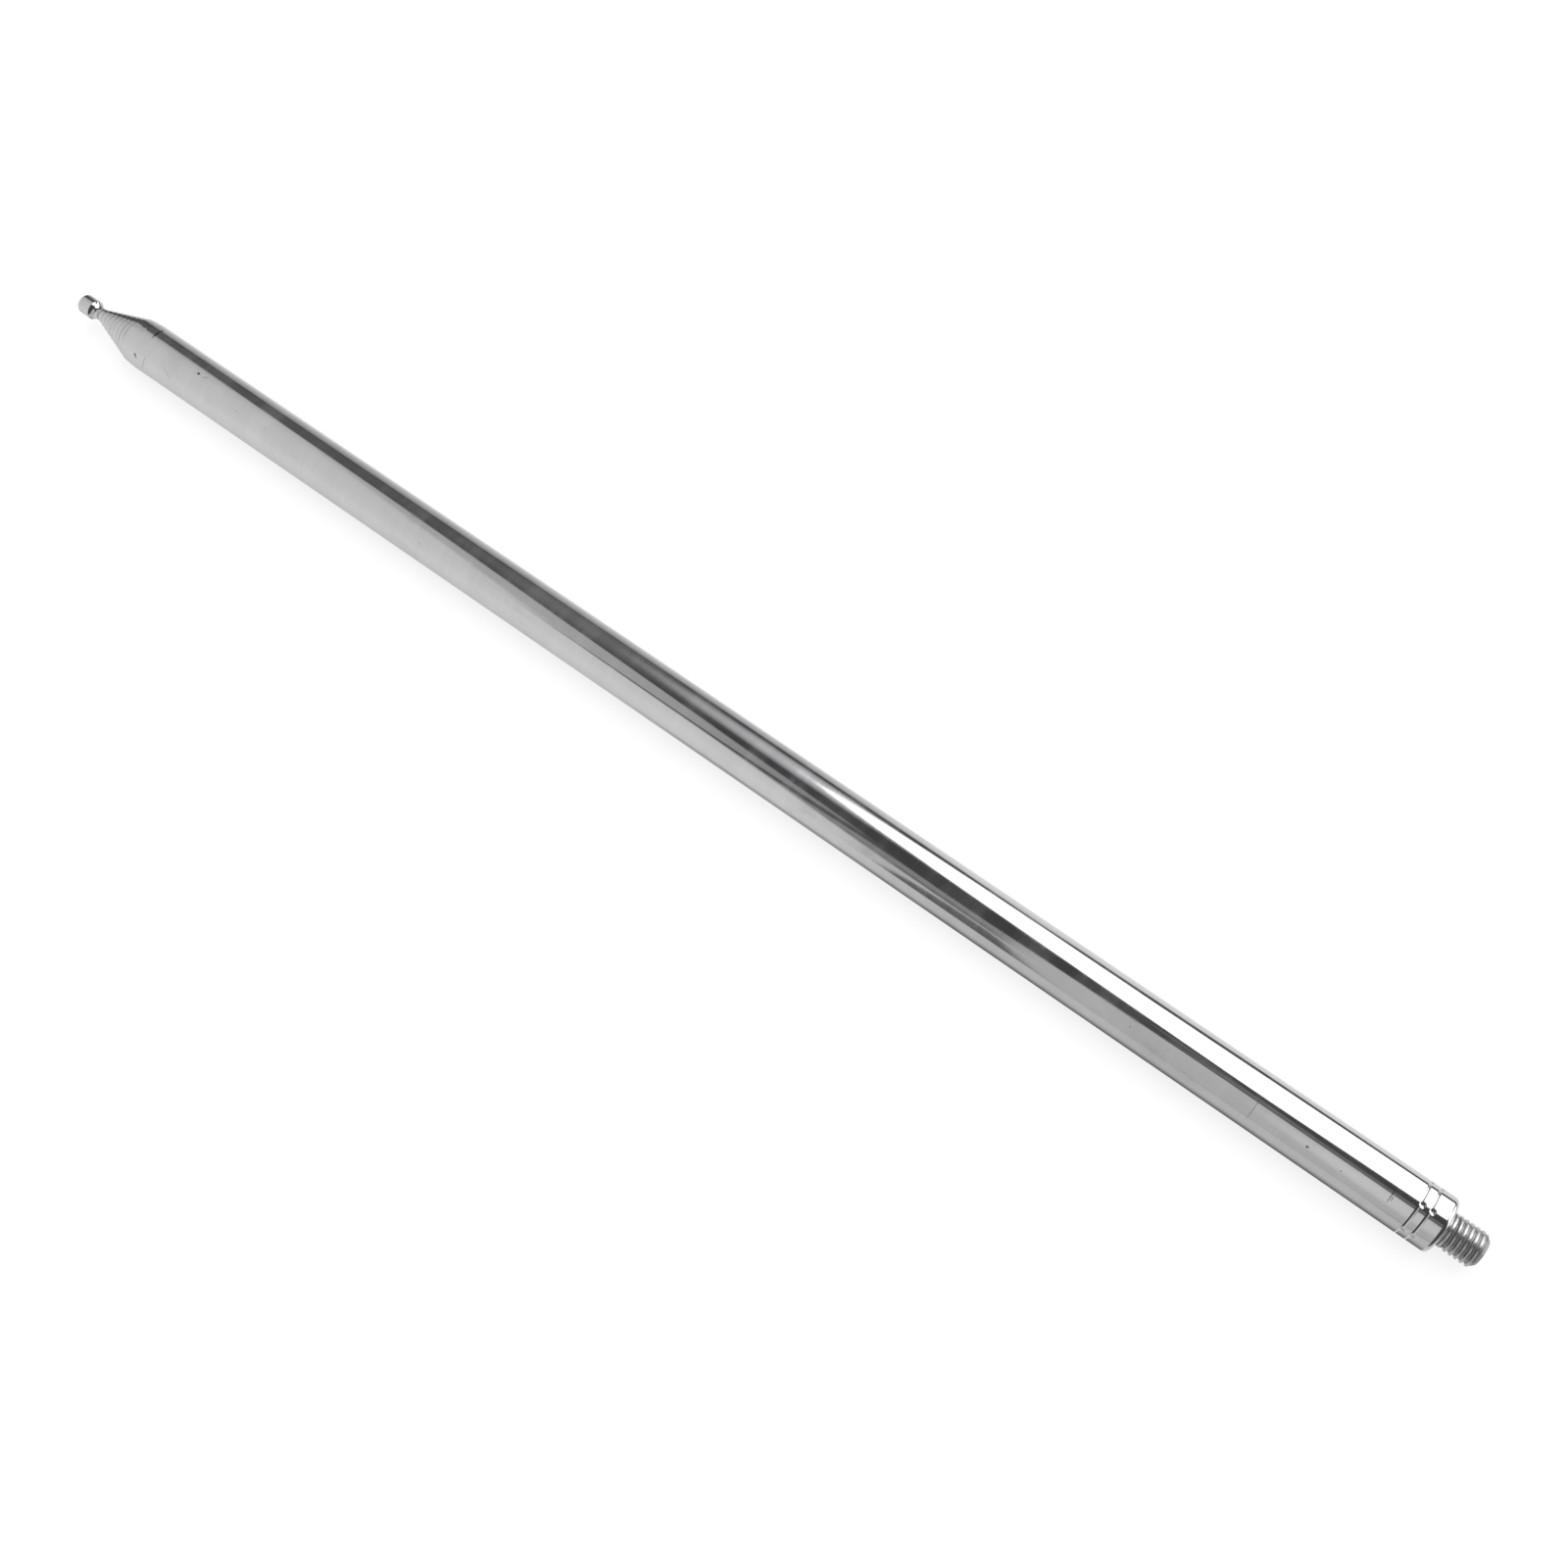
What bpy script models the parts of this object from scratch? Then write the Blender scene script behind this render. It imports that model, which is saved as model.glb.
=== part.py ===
"""Telescopic rod antenna with a threaded stud, closed, lying along the X axis.

The seat plane, where the body ends and the stud begins, is x = 0, and the antenna's axis is the X axis.
The stud points to +X and the sections slide out to -X. A station is a distance from the seat plane
towards the tip, so a point on the stud has a negative station. All sizes are in millimetres.
"""

import math

import bmesh
import bpy

MM = 0.001

# Nested sections, as many as fit between the outer tube and the rod
OUTER_DIAMETER = 16.0
ROD_DIAMETER = 3.85
WALL = 0.35
ANNULAR_ROOM = 0.325
SECTION_COUNT = 1 + round((OUTER_DIAMETER - ROD_DIAMETER) / 2 / (WALL + ANNULAR_ROOM))
FIRST_RIM = 462.5
RIM_STEP = 2.1

# Swaged noses, which keep each next section's bush inside
FIRST_NOSE_LENGTH = 4.6
NOSE_LENGTH = 3.6
NECK_LAND = 1.0
NECK_CLEARANCE = 0.06
SHOULDER_STEP = 0.06
SHOULDER_LENGTH = 0.5
NOSE_SHARES = (0.55, 0.85, 1.0)

# Rolled lower end of the outer tube, and the rings and dimples that lock the plug in it
END_ROUND = 1.2
LIP_WIDTH = 0.45
GROOVE_STATIONS = (5.6, 8.4)
GROOVE_WIDTH = 0.7
GROOVE_DEPTH = 0.18
DIMPLE_COUNT = 6
DIMPLE_DIAMETER = 1.6
DIMPLE_DEPTH = 0.2
DIMPLE_OFFSET = 0.6
DIMPLE_PHASE = math.radians(9.0)

# Base plug
PLUG_DEPTH = 12.0
PLUG_CHAMFER = 0.5
FIT_GAP = 0.05

# Stud: two plain collars, then a right-handed metric thread
STUD_LENGTH = 10.8
COLLAR_COUNT = 2
COLLAR_UNDERCUT = 0.15
COLLAR_WIDTH = 0.7
RELIEF_WIDTH = 0.35
THREAD_DIAMETER = 10.0
THREAD_PITCH = 1.5
THREAD_DEPTH = 0.6134 * THREAD_PITCH
THREAD_ROWS = ((0.0, 0.0), (0.25, 0.0), (0.5625, 1.0), (0.6875, 1.0))
STUD_CHAMFER = 1.4
LAST_LAND = 0.1
LEAD_IN = 0.25

# Lower end of each sliding section: flare, contact spring and stop bush
REST_GAP = 0.3
FLARE_LENGTH = 0.8
FLARE_CLEARANCE = 0.1
END_PLAY = 0.15
SPRING_LENGTH = 7.0
SPRING_THICKNESS = 0.12
SPRING_SEAT = 0.07
SPRING_CLEARANCE = 0.045
BUSH_LENGTH = 3.0
BUSH_CLEARANCE = 0.06
BUSH_SEAT = 0.02

# Top rod and its cap
ROD_NECK = 0.9
CAP_DIAMETER = 6.3
CAP_LENGTH = 7.8
CAP_CONE = 2.9
CAP_ROUND = 0.7
CAP_BORE_DEPTH = 5.0
CAP_SEAT = 0.02
CAP_LIP = 0.25

# Facets round the axis. The sections' count divides by 12, so they nest again after a twelfth of a turn
BODY_FACETS = 32
SECTION_FACETS = 24
ARC_STEPS = 2
SHARP_ANGLE = math.radians(30)

POLISHED_STEEL = ("polished_steel", (0.66, 0.66, 0.67), 0.12)
TURNED_STEEL = ("turned_steel", (0.45, 0.45, 0.46), 0.32)
TURNED_BRASS = ("turned_brass", (0.78, 0.62, 0.34), 0.3)
SPRING_BRONZE = ("spring_bronze", (0.72, 0.47, 0.3), 0.28)


def radius_step():
    """From one section's outside to the next one's, shared out evenly over the steps that fit."""
    return (OUTER_DIAMETER - ROD_DIAMETER) / 2 / (SECTION_COUNT - 1)


def outer_radius(section):
    return OUTER_DIAMETER / 2 - (section - 1) * radius_step()


def bore_radius(section):
    return outer_radius(section) - WALL


def mouth_radius(section):
    return outer_radius(section + 1) + NECK_CLEARANCE


def rim_station(section):
    return FIRST_RIM + (section - 1) * RIM_STEP


def nose_length(section):
    return FIRST_NOSE_LENGTH if section == 1 else NOSE_LENGTH


def nose_start(section):
    return rim_station(section) - nose_length(section)


def flare_radius(section):
    return bore_radius(section - 1) - FLARE_CLEARANCE


def rest_station():
    """Where every sliding section's lower end stops, just clear of the plug."""
    return PLUG_DEPTH + REST_GAP


def spring_station():
    return rest_station() + FLARE_LENGTH + END_PLAY


def bush_station():
    return spring_station() + SPRING_LENGTH + END_PLAY


def cap_station():
    return rim_station(SECTION_COUNT - 1) + ROD_NECK


def clear_scene():
    for obj in list(bpy.data.objects):
        bpy.data.objects.remove(obj)


def material(name, colour, roughness):
    found = bpy.data.materials.get(name)
    if found:
        return found
    made = bpy.data.materials.new(name)
    made.use_nodes = True
    shader = made.node_tree.nodes["Principled BSDF"]
    shader.inputs["Base Color"].default_value = (*colour, 1.0)
    shader.inputs["Metallic"].default_value = 1.0
    shader.inputs["Roughness"].default_value = roughness
    return made


def link(obj, parent, station):
    """Puts an object in the scene with its origin on the axis at that station."""
    bpy.context.scene.collection.objects.link(obj)
    obj.parent = parent
    carrier = parent.matrix_world.translation.x if parent else 0.0
    obj.location.x = -station * MM - carrier
    bpy.context.view_layer.update()
    return obj


def carriage(name, parent, station):
    """An empty on the axis. All that slides or turns with it hangs from it."""
    empty = bpy.data.objects.new(name, None)
    empty.empty_display_size = OUTER_DIAMETER * MM
    return link(empty, parent, station)


def finished(name, bm, finish, parent, station):
    """Makes the object of a mesh that was built in the scene's frame."""
    bmesh.ops.translate(bm, verts=bm.verts, vec=(station * MM, 0, 0))
    bmesh.ops.recalc_face_normals(bm, faces=bm.faces)
    mesh = bpy.data.meshes.new(name)
    bm.to_mesh(mesh)
    bm.free()
    mesh.shade_smooth()
    mesh.set_sharp_from_angle(angle=SHARP_ANGLE)
    mesh.materials.append(material(*finish))
    return link(bpy.data.objects.new(name, mesh), parent, station)


def turned(profile, facets, open_facets=0):
    """Spins a profile of (station, radius) points round the axis, all but open_facets of the way.

    A profile that starts on the axis stays open at its far end, unless that is on the axis too.
    """
    bm = bmesh.new()
    verts = [bm.verts.new((-station * MM, 0, radius * MM)) for station, radius in profile]
    edges = [bm.edges.new(pair) for pair in zip(verts, verts[1:])]
    if profile[0][1] > 0:
        edges.append(bm.edges.new((verts[-1], verts[0])))
    steps = facets - open_facets
    bmesh.ops.spin(
        bm,
        geom=verts + edges,
        cent=(0, 0, 0),
        axis=(1, 0, 0),
        angle=math.tau * steps / facets,
        steps=steps,
        use_merge=not open_facets,
    )
    bmesh.ops.remove_doubles(bm, verts=bm.verts, dist=0.0001 * MM)
    return bm


def arc(centre, radius, start, end):
    """Points of (station, radius) round a corner, both ends included. 0 degrees is towards the tip."""
    points = []
    for step in range(ARC_STEPS + 1):
        angle = math.radians(start + (end - start) * step / ARC_STEPS)
        points.append((centre[0] + radius * math.cos(angle), centre[1] + radius * math.sin(angle)))
    return points


def groove(station, radius, spread=0.0):
    """The section of a rolled ring, with its flanks moved apart by spread."""
    half = GROOVE_WIDTH / 2 + spread
    floor = GROOVE_WIDTH / 5 + spread
    return [
        (station - half, radius),
        (station - floor, radius - GROOVE_DEPTH),
        (station + floor, radius - GROOVE_DEPTH),
        (station + half, radius),
    ]


def nose_outside(section):
    """A swaged nose from the full diameter to the rim, bulging as it narrows."""
    full = outer_radius(section) - (SHOULDER_STEP if section == 1 else 0.0)
    drop = full - mouth_radius(section) - WALL
    points = [(nose_start(section), outer_radius(section))]
    if section == 1:
        points.append((nose_start(section) + SHOULDER_LENGTH, full))
    for share in NOSE_SHARES:
        points.append((nose_start(section) + share * nose_length(section), full - drop * share**2))
    return points


def nose_inside(section):
    """The mouth that guides the next section, and the taper that stops its bush."""
    return [
        (rim_station(section), mouth_radius(section)),
        (rim_station(section) - NECK_LAND, mouth_radius(section)),
        (nose_start(section), bore_radius(section)),
    ]


def lip_radius():
    return OUTER_DIAMETER / 2 - END_ROUND - LIP_WIDTH


def collar_radius():
    return THREAD_DIAMETER / 2 - COLLAR_UNDERCUT


def outer_tube(parent):
    corner = (END_ROUND, outer_radius(1) - END_ROUND)
    profile = [(0.0, lip_radius())]
    profile += arc(corner, END_ROUND, 180, 90)
    for station in GROOVE_STATIONS:
        profile += groove(station, outer_radius(1))
    profile += nose_outside(1)
    profile += nose_inside(1)
    for station in reversed(GROOVE_STATIONS):
        profile += reversed(groove(station, bore_radius(1)))
    profile += arc(corner, END_ROUND - WALL, 90, 180)
    profile.append((WALL, lip_radius()))
    tube = finished("outer_tube", turned(profile, BODY_FACETS), POLISHED_STEEL, parent, 0.0)
    cut = tube.modifiers.new("staking dimples", "BOOLEAN")
    cut.operation = "DIFFERENCE"
    cut.object = dimple_cutter(parent)


def dimple_cutter(parent):
    """Balls that leave one staking dimple each, on the stud's side of the rolled rings."""
    ball = (DIMPLE_DIAMETER**2 / 4 + DIMPLE_DEPTH**2) / (2 * DIMPLE_DEPTH)
    reach = outer_radius(1) - DIMPLE_DEPTH + ball
    bm = bmesh.new()
    for station in GROOVE_STATIONS:
        for index in range(DIMPLE_COUNT):
            angle = DIMPLE_PHASE + index * math.tau / DIMPLE_COUNT
            made = bmesh.ops.create_icosphere(bm, subdivisions=3, radius=ball * MM)
            place = (
                (DIMPLE_OFFSET - station) * MM,
                -reach * math.sin(angle) * MM,
                reach * math.cos(angle) * MM,
            )
            bmesh.ops.translate(bm, verts=made["verts"], vec=place)
    cutter = finished("dimple_cutter", bm, POLISHED_STEEL, parent, 0.0)
    cutter.hide_render = True
    cutter.display_type = "WIRE"
    return cutter


def plug_profile():
    """The plug's outline from the middle of its inner face, outwards and down to the last collar."""
    side = bore_radius(1) - FIT_GAP
    corner = (END_ROUND, outer_radius(1) - END_ROUND)
    profile = [(PLUG_DEPTH, 0.0), (PLUG_DEPTH, side - PLUG_CHAMFER), (PLUG_DEPTH - PLUG_CHAMFER, side)]
    for station in reversed(GROOVE_STATIONS):
        profile += reversed(groove(station, side, FIT_GAP))
    profile += arc(corner, END_ROUND - WALL - FIT_GAP, 90, 180)
    profile.append((WALL + FIT_GAP, lip_radius() - FIT_GAP))
    profile.append((0.0, lip_radius() - FIT_GAP))
    for index in range(COLLAR_COUNT):
        start = -index * (COLLAR_WIDTH + RELIEF_WIDTH)
        profile.append((start, collar_radius()))
        profile.append((start - COLLAR_WIDTH, collar_radius()))
        profile.append((start - COLLAR_WIDTH, thread_root()))
        profile.append((start - COLLAR_WIDTH - RELIEF_WIDTH, thread_root()))
    return profile


def thread_root():
    return THREAD_DIAMETER / 2 - THREAD_DEPTH


def stud_end_radius():
    return THREAD_DIAMETER / 2 - STUD_CHAMFER


def thread_end():
    """The thread stops a land short of where the end chamfer has come down to its root."""
    return -STUD_LENGTH + thread_root() - stud_end_radius() + LAST_LAND


def thread_turns():
    """Whole turns that fit between the last collar and the end. The helix itself takes one more."""
    collars = COLLAR_COUNT * (COLLAR_WIDTH + RELIEF_WIDTH)
    room = -collars - LAST_LAND - thread_end()
    return max(1, int(room / THREAD_PITCH) - 1)


def ring_point(bm, station, radius, index):
    angle = math.tau * index / BODY_FACETS
    return bm.verts.new((-station * MM, radius * math.cos(angle) * MM, radius * math.sin(angle) * MM))


def thread_point(bm, row, index):
    """The vertex where one row of the thread crosses one facet line. The helix is right-handed."""
    turn, place = divmod(row, len(THREAD_ROWS))
    share, height = THREAD_ROWS[place]
    wound = turn + index / BODY_FACETS
    start = thread_end() + (thread_turns() + 1) * THREAD_PITCH
    station = start - (wound + share) * THREAD_PITCH
    lead_in = min(1.0, LEAD_IN + wound)
    radius = thread_root() + THREAD_DEPTH * height * lead_in
    return ring_point(bm, station, min(radius, stud_end_radius() + station + STUD_LENGTH), index)


def open_ring(bm):
    """The boundary's vertices in order round the axis, from +Y towards +Z."""
    verts = {vert for edge in bm.edges if edge.is_boundary for vert in edge.verts}
    half_facet = math.pi / BODY_FACETS
    return sorted(verts, key=lambda vert: (math.atan2(vert.co.z, vert.co.y) + half_facet) % math.tau)


def band(bm, first, second):
    """Quads between two rows of vertices."""
    for one, two, three, four in zip(first, first[1:], second[1:], second):
        bm.faces.new((one, two, three, four))


def fan(bm, tip, chain):
    for first, second in zip(chain, chain[1:]):
        bm.faces.new((tip, first, second))


def wind_thread(bm, lower):
    """Winds the thread's strip on from the ring called lower, then closes the stud's chamfered end."""
    per_turn = len(THREAD_ROWS)
    last = thread_turns() * per_turn
    rows = [[thread_point(bm, row, index) for index in range(BODY_FACETS)] for row in range(last + 1)]
    seam = [row[0] for row in rows]
    seam += [thread_point(bm, last + extra, 0) for extra in range(1, per_turn + 1)]
    for row, points in enumerate(rows):
        points.append(seam[row + per_turn])
    for first, second in zip(rows, rows[1:]):
        band(bm, first, second)
    chamfer = -STUD_LENGTH + thread_root() - stud_end_radius()
    upper = [ring_point(bm, chamfer, thread_root(), index) for index in range(BODY_FACETS)]
    face = [ring_point(bm, -STUD_LENGTH, stud_end_radius(), index) for index in range(BODY_FACETS)]
    # Each end of the strip steps by a pitch at the seam, and a fan closes the facet beside the step
    band(bm, lower, rows[0][:-1])
    fan(bm, rows[0][-2], [lower[-1], lower[0], *seam[: per_turn + 1]])
    band(bm, rows[-1][1:], upper[1:] + upper[:1])
    fan(bm, rows[-1][1], [*seam[last:], upper[0], upper[1]])
    band(bm, upper + upper[:1], face + face[:1])
    bm.faces.new(face)


def base_plug(parent):
    bm = turned(plug_profile(), BODY_FACETS)
    wind_thread(bm, open_ring(bm))
    finished("base_plug", bm, TURNED_STEEL, parent, 0.0)


def section_tube(section, parent):
    """A drawn tube with its lower end flared and its upper end swaged onto the next section."""
    start = rest_station()
    profile = [(start, flare_radius(section)), (start + FLARE_LENGTH, outer_radius(section))]
    profile += nose_outside(section)
    profile += nose_inside(section)
    profile += [(start + FLARE_LENGTH, bore_radius(section)), (start, flare_radius(section) - WALL)]
    bm = turned(profile, SECTION_FACETS)
    finished(f"section_tube_{section}", bm, POLISHED_STEEL, parent, start)


def contact_spring(section, parent):
    """A rolled leaf spring, split along one side, whose belly presses on the tube around it."""
    low = outer_radius(section) + SPRING_SEAT
    high = bore_radius(section - 1) - SPRING_CLEARANCE - SPRING_THICKNESS
    inside = []
    for share, radius in ((0.0, low), (0.25, high), (0.75, high), (1.0, low)):
        inside.append((spring_station() + share * SPRING_LENGTH, radius))
    outside = [(station, radius + SPRING_THICKNESS) for station, radius in inside]
    bm = turned(outside + inside[::-1], SECTION_FACETS, open_facets=1)
    slot = [edge for edge in bm.edges if edge.is_boundary]
    bmesh.ops.holes_fill(bm, edges=slot, sides=0)
    finished(f"contact_spring_{section}", bm, SPRING_BRONZE, parent, rest_station())


def stop_bush(section, parent):
    """A ring fixed on the section's lower end. It meets the neck of the tube outside it and stops there."""
    inner = outer_radius(section) + BUSH_SEAT
    outer = bore_radius(section - 1) - BUSH_CLEARANCE
    start = bush_station()
    end = start + BUSH_LENGTH
    bm = turned([(start, outer), (end, outer), (end, inner), (start, inner)], SECTION_FACETS)
    finished(f"stop_bush_{section}", bm, TURNED_BRASS, parent, rest_station())


def top_rod(parent):
    """The last section, solid, with a headed lower end and its upper end in the cap."""
    start = rest_station()
    end = cap_station() + CAP_BORE_DEPTH - REST_GAP
    radius = outer_radius(SECTION_COUNT)
    profile = [(start, 0.0), (start, flare_radius(SECTION_COUNT)), (start + FLARE_LENGTH, radius)]
    profile += [(end, radius), (end, 0.0)]
    finished("top_rod", turned(profile, SECTION_FACETS), POLISHED_STEEL, parent, start)


def tip_cap(parent):
    """A turned button with a blind bore for the rod, a cone behind and a rounded front edge."""
    start = cap_station()
    tip = start + CAP_LENGTH
    bore = outer_radius(SECTION_COUNT) + CAP_SEAT
    radius = CAP_DIAMETER / 2
    profile = [(start + CAP_BORE_DEPTH, 0.0), (start + CAP_BORE_DEPTH, bore), (start, bore)]
    profile += [(start, bore + CAP_LIP), (start + CAP_CONE, radius)]
    profile += arc((tip - CAP_ROUND, radius - CAP_ROUND), CAP_ROUND, 90, 0)
    profile.append((tip, 0.0))
    finished("tip_cap", turned(profile, SECTION_FACETS), POLISHED_STEEL, parent, rest_station())


def main():
    clear_scene()
    carrier = carriage("antenna_base", None, 0.0)
    outer_tube(carrier)
    base_plug(carrier)
    for section in range(2, SECTION_COUNT + 1):
        carrier = carriage(f"section_{section}_slide", carrier, rest_station())
        contact_spring(section, carrier)
        carrier = carriage(f"section_{section}_turn", carrier, rest_station())
        stop_bush(section, carrier)
        if section < SECTION_COUNT:
            section_tube(section, carrier)
    top_rod(carrier)
    tip_cap(carrier)


main()
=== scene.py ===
"""Finishes a telescopic rod antenna: smooth polished tubes, a cut thread and the studio around them.

Lengths are in metres. The antenna lies along the X axis with its stud towards +X and its tip towards -X.
A station is a distance from the seat plane, x = 0, towards the tip, so the stud has negative stations.
"""

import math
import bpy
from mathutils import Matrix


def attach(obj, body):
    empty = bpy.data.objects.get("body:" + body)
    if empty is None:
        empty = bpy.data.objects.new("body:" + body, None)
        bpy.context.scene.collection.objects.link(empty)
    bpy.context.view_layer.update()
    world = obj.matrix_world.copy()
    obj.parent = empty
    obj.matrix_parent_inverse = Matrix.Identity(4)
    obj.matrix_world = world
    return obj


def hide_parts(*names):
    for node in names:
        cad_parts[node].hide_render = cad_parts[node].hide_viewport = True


bl_info = {
    "name": "Telescopic Antenna Finish",
    "version": (1, 0, 0),
    "blender": (4, 5, 0),
    "location": "View3D > Sidebar > Antenna",
    "description": "Polished sections, threaded stud, surface finishes and studio for a telescopic antenna",
    "category": "Object",
}

import bmesh
import bpy
from bpy.types import NodeSocket, Operator, Panel, PropertyGroup, Scene
from mathutils import Euler, Vector

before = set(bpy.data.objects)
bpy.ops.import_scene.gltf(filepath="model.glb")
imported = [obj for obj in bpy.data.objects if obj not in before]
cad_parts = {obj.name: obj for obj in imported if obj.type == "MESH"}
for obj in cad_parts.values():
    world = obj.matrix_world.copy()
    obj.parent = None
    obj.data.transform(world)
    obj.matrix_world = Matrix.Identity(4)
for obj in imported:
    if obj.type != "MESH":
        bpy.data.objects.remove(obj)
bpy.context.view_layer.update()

MM = 0.001
SECTIONS = 10


def length(label, note, value):
    """A size in millimetres as a property in metres."""
    return bpy.props.FloatProperty(
        name=label, description=note, default=value * MM, precision=5, subtype="DISTANCE", unit="LENGTH"
    )


def degrees(label, note, value):
    """An angle in degrees as a property in radians."""
    return bpy.props.FloatProperty(name=label, description=note, default=math.radians(value), subtype="ANGLE")


def whole(label, note, value, least):
    """A count as a property."""
    return bpy.props.IntProperty(name=label, description=note, default=value, min=least)


def colour(label, note, value):
    """A linear colour as a property."""
    return bpy.props.FloatVectorProperty(
        name=label, description=note, default=value, min=0.0, max=1.0, size=3, subtype="COLOR"
    )


class TubeSizes(PropertyGroup):
    radius: length("Body radius", "Outside radius of the outer tube", 8.0)
    radius_step: length("Radius step", "From one section's outside to the next one's", 0.675)
    wall: length("Wall", "Wall of every tube", 0.35)
    first_rim: length("First rim", "Station of the outer tube's rim", 462.5)
    rim_step: length("Rim step", "From one rim to the next when closed", 2.1)
    first_nose: length("First nose", "Length of the outer tube's swaged nose", 4.6)
    nose: length("Nose", "Length of each section's swaged nose", 3.6)
    neck_land: length("Neck land", "Straight guide inside each rim", 1.0)
    neck_clearance: length("Neck clearance", "Gap between a rim and the section in it", 0.06)
    rim_wall: length("Rim wall", "Wall of each rim, thinned by swaging", 0.24)
    rim_round: length("Rim rounding", "Rounding of each rim's edges", 0.10)
    shoulder: length("Shoulder", "Step where the nose of the outer tube starts", 0.06)
    shoulder_length: length("Shoulder length", "Length of that step", 0.5)
    rest: length("Lower end", "Station of each section's lower end when closed", 12.3)
    flare: length("Flare", "Length of each section's flared end", 0.8)
    flare_clearance: length("Flare clearance", "Gap between a flare and the tube round it", 0.1)
    hold: length("Holding ring", "Distance of the extra ring that keeps a long face straight", 0.3)
    facets: whole("Facets", "Facets round the outer tube", 256, 64)
    section_facets: whole("Section facets", "Facets round each sliding section", 144, 48)


class EndSizes(PropertyGroup):
    round: length("End rounding", "Rounding of the outer tube's lower edge", 1.2)
    lip: length("Lip", "Width of the lip that is rolled in over the plug", 0.45)
    groove_depth: length("Ring depth", "Depth of each rolled ring", 0.11)
    groove_width: length("Ring width", "Width of each rolled ring", 0.75)
    first_groove: length("First ring", "Station of the rolled ring near the stud", 5.6)
    groove_pitch: length("Ring pitch", "Distance between the rolled rings", 2.8)
    dimples: whole("Dimples", "Staking dimples at each ring", 6, 0)
    dimple_radius: length("Dimple radius", "Radius of a staking dimple", 0.85)
    dimple_depth: length("Dimple depth", "Depth of a staking dimple", 0.2)
    dimple_offset: length("Dimple offset", "From a ring to its dimples, towards the stud", 0.6)
    dimple_turn: degrees("Dimple turn", "Turn of the first dimple", 9)
    seat_gap: length("Seat gap", "Fine joint between the plug and the lip", 0.05)
    plug_depth: length("Plug depth", "How far the plug reaches into the tube", 12.0)


class StudSizes(PropertyGroup):
    reach: length("Stud length", "From the seat plane to the stud's end", 10.8)
    radius: length("Thread radius", "Outside radius of the thread", 5.0)
    pitch: length("Thread pitch", "Pitch of the right-handed thread", 1.5)
    depth: length("Thread depth", "Depth of the thread", 0.64)
    groove: length("Thread groove", "Width of the thread's groove at its crests", 1.02)
    collars: whole("Collars", "Plain collars before the thread", 2, 1)
    collar_undercut: length("Collar undercut", "How much lower than the crests the collars are", 0.15)
    collar_width: length("Collar width", "Width of a collar", 0.7)
    relief: length("Relief", "Width of the groove after each collar", 0.35)
    chamfer: length("Chamfer", "Drop of the chamfer on the stud's end", 1.4)
    break_edge: length("Edge break", "Bevel of the turned edges", 0.06)


class TipSizes(PropertyGroup):
    rod_neck: length("Bare rod", "Rod that shows between the last rim and the cap", 0.9)
    cap_radius: length("Cap radius", "Outside radius of the cap", 3.15)
    cap_length: length("Cap length", "Length of the cap", 7.8)
    cap_cone: length("Cap cone", "Length of the cone at the cap's back", 2.9)
    cap_round: length("Cap rounding", "Rounding of the cap's front edge", 0.7)
    cap_lip: length("Cap lip", "Width of the cap's flat back edge", 0.08)
    bore_depth: length("Bore depth", "How far the rod goes into the cap", 5.0)
    bore_gap: length("Bore gap", "Gap between the rod and the cap's bore", 0.02)


class FinishColours(PropertyGroup):
    steel: colour("Polished steel", "Reflection colour of the polished tubes", (0.62, 0.62, 0.625))
    stud: colour("Turned steel", "Reflection colour of the stud", (0.60, 0.60, 0.60))
    brass: colour("Brass", "Reflection colour of the stop bushes", (0.76, 0.58, 0.30))
    bronze: colour("Bronze", "Reflection colour of the contact springs", (0.68, 0.44, 0.27))
    # This dark colour is also laid as painted shade just past each rim.
    grime_and_shade: colour("Grime and shade", "Colour of the dirt in marks and grooves", (0.08, 0.078, 0.075))
    wear: colour("Wear", "Colour of the worn marks on the body", (0.025, 0.025, 0.025))


class StudioSettings(PropertyGroup):
    azimuth: degrees("Azimuth", "Camera's turn about Z from -Y", 36.95)
    elevation: degrees("Elevation", "Camera's height angle", 64.95)
    distance: length("Distance", "From the camera to the point that it is turned to", 477.1)
    target: length("Target", "Station of the point that the camera is turned to", 204.8)
    target_side: length("Target side", "How far that point lies beside the axis, towards -Y", 1.32)
    lens: bpy.props.FloatProperty(name="Lens", description="Focal length in millimetres", default=39.1)
    floor_drop: length("Floor", "Depth of the floor below the axis", 8.3)
    floor_size: length("Floor size", "Side of the floor", 14000.0)
    floor_colour: colour("Floor colour", "Colour of the floor where light falls on it", (0.9, 0.9, 0.905))
    backdrop: colour("Backdrop", "Colour of the studio behind the antenna", (0.96, 0.96, 0.965))
    sweep: colour("Sweep", "What the tubes mirror of the pale sweep under them", (0.90, 0.90, 0.905))
    sweep_near_stud: colour("Sweep near the stud", "The same, nearer to the stud", (0.95, 0.95, 0.955))


def tubes():
    return bpy.context.scene.antenna_tubes


def base():
    return bpy.context.scene.antenna_base


def stud():
    return bpy.context.scene.antenna_stud


def tip():
    return bpy.context.scene.antenna_tip


def colours():
    return bpy.context.scene.antenna_colours


def studio():
    return bpy.context.scene.antenna_studio


# Where the sections lie


def outer(section):
    return tubes().radius - (section - 1) * tubes().radius_step


def bore(section):
    return outer(section) - tubes().wall


def mouth(section):
    return outer(section + 1) + tubes().neck_clearance


def rim(section):
    return tubes().first_rim + (section - 1) * tubes().rim_step


def nose_start(section):
    return rim(section) - (tubes().first_nose if section == 1 else tubes().nose)


def cap_start():
    return rim(SECTIONS - 1) + tip().rod_neck


def grooves():
    return base().first_groove, base().first_groove + base().groove_pitch


def collar_step():
    return stud().collar_width + stud().relief


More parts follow.
